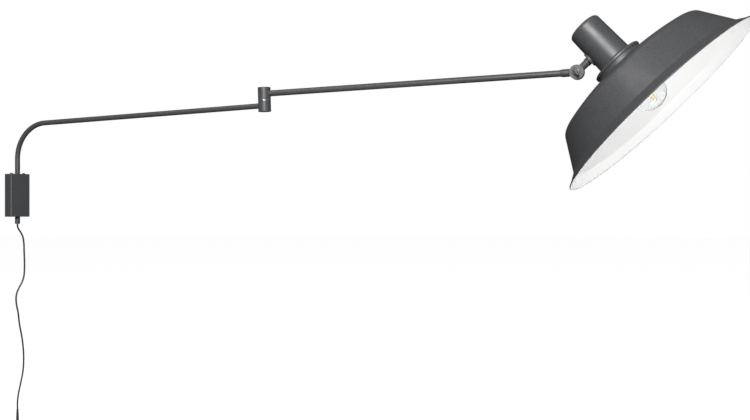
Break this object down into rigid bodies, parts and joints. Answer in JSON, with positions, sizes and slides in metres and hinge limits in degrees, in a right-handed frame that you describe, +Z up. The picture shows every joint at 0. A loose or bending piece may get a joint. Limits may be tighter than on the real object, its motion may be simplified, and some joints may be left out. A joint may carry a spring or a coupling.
{
  "type": "swing arm wall lamp",
  "caption": "Wall lamp on a jointed swing arm with a tilting metal shade, clear bulb, and a cord with a switch and a plug.",
  "frame": {"origin": "centre of the wall box's back face, on the wall", "axes": "+Z up, +Y into the wall, the lamp stands out towards -Y"},
  "size_m": [0.6031, 1.2297, 0.8614],
  "materials": {
    "dark_coat": "matte dark grey powder coat with a fine grain",
    "shade_coat": "matte dark grey powder coat outside, satin white inside",
    "plain_steel": "satin zinc-plated",
    "nylon": "natural, matte",
    "wire_sheath": "matte",
    "black_rubber": "satin",
    "cord_sheath": "satin black",
    "tie_plastic": "matte black",
    "black_plastic": "fine-grained black",
    "bakelite": "low gloss black",
    "brass": "bright",
    "clear_glass": "clear",
    "light_stick": "yellow, matte"
  },
  "bodies": {
    "wall_box": {"wall_bracket": "plain_steel", "box_cover": "dark_coat", "end_plate_upper": "dark_coat", "end_plate_lower": "dark_coat", "swivel_bush_upper": "nylon", "swivel_bush_lower": "nylon", "end_plate_screws": "dark_coat", "cord_upper": "cord_sheath", "cord_lower": "cord_sheath", "cord_coil": "cord_sheath", "cord_tail": "cord_sheath", "coil_tie": "tie_plastic", "switch_body": "black_plastic", "plug_body": "black_plastic", "plug_pins": "plain_steel"},
    "lower_arm": {"lower_arm_tube": "dark_coat", "stop_collar": "plain_steel", "stop_collar_screw": "plain_steel", "cord_gland": "black_rubber", "elbow_barrel_lower": "dark_coat", "elbow_pivot": "plain_steel", "elbow_washer": "plain_steel", "cable_lower_arm": "wire_sheath"},
    "outer_arm": {"elbow_barrel_upper": "dark_coat", "elbow_spring_washer": "plain_steel", "elbow_cap": "dark_coat", "outer_arm_tube": "dark_coat", "arm_ferrule": "dark_coat", "knuckle_arm_half": "dark_coat", "knuckle_bolt": "dark_coat", "knuckle_washer": "plain_steel", "cable_outer_arm": "wire_sheath"},
    "clamp_nut": {"wing_nut": "dark_coat"},
    "lamp_head": {"knuckle_lamp_half": "dark_coat", "link_collar": "dark_coat", "link_nipple": "plain_steel", "link_rosette": "dark_coat", "link_nut": "plain_steel", "holder_bracket": "plain_steel", "lamp_cap": "dark_coat", "shade_collar": "dark_coat", "shade": "shade_coat", "shade_ring": "bakelite", "holder_body": "bakelite", "holder_nipple": "plain_steel", "holder_shell": "brass", "holder_contact": "brass", "bulb_base": "plain_steel", "bulb_glass": "clear_glass", "bulb_stem": "clear_glass", "bulb_filaments": "light_stick", "cable_head": "wire_sheath"},
    "rocker": {"switch_rocker": "black_plastic"}
  },
  "joints": [
    {"name": "wall_swivel", "type": "hinge", "parent": "wall_box", "child": "lower_arm", "pos_m": [0, -0.01, 0], "axis": [0, 0, 1], "range_deg": [-97.4, 62.6]},
    {"name": "elbow_swing", "type": "hinge", "parent": "lower_arm", "child": "outer_arm", "pos_m": [0.15392, -0.50115, 0.14564], "axis": [-0.0101, 0.0321, 0.9994], "range_deg": [-146, 134]},
    {"name": "head_tilt", "type": "hinge", "parent": "outer_arm", "child": "lamp_head", "pos_m": [0.35817, -0.97289, 0.18238], "axis": [0.9178, 0.3971, -0.0035], "range_deg": [-62, 70]},
    {"name": "clamp_nut_turn", "type": "hinge", "parent": "outer_arm", "child": "clamp_nut", "pos_m": [0.35817, -0.97289, 0.18238], "axis": [-0.9178, -0.3971, 0.0035], "range_deg": [0, 180]},
    {"name": "switch_rock", "type": "hinge", "parent": "wall_box", "child": "rocker", "pos_m": [0, -0.0139, -0.4425], "axis": [1, 0, 0], "range_deg": [-14, 0]}
  ]
}
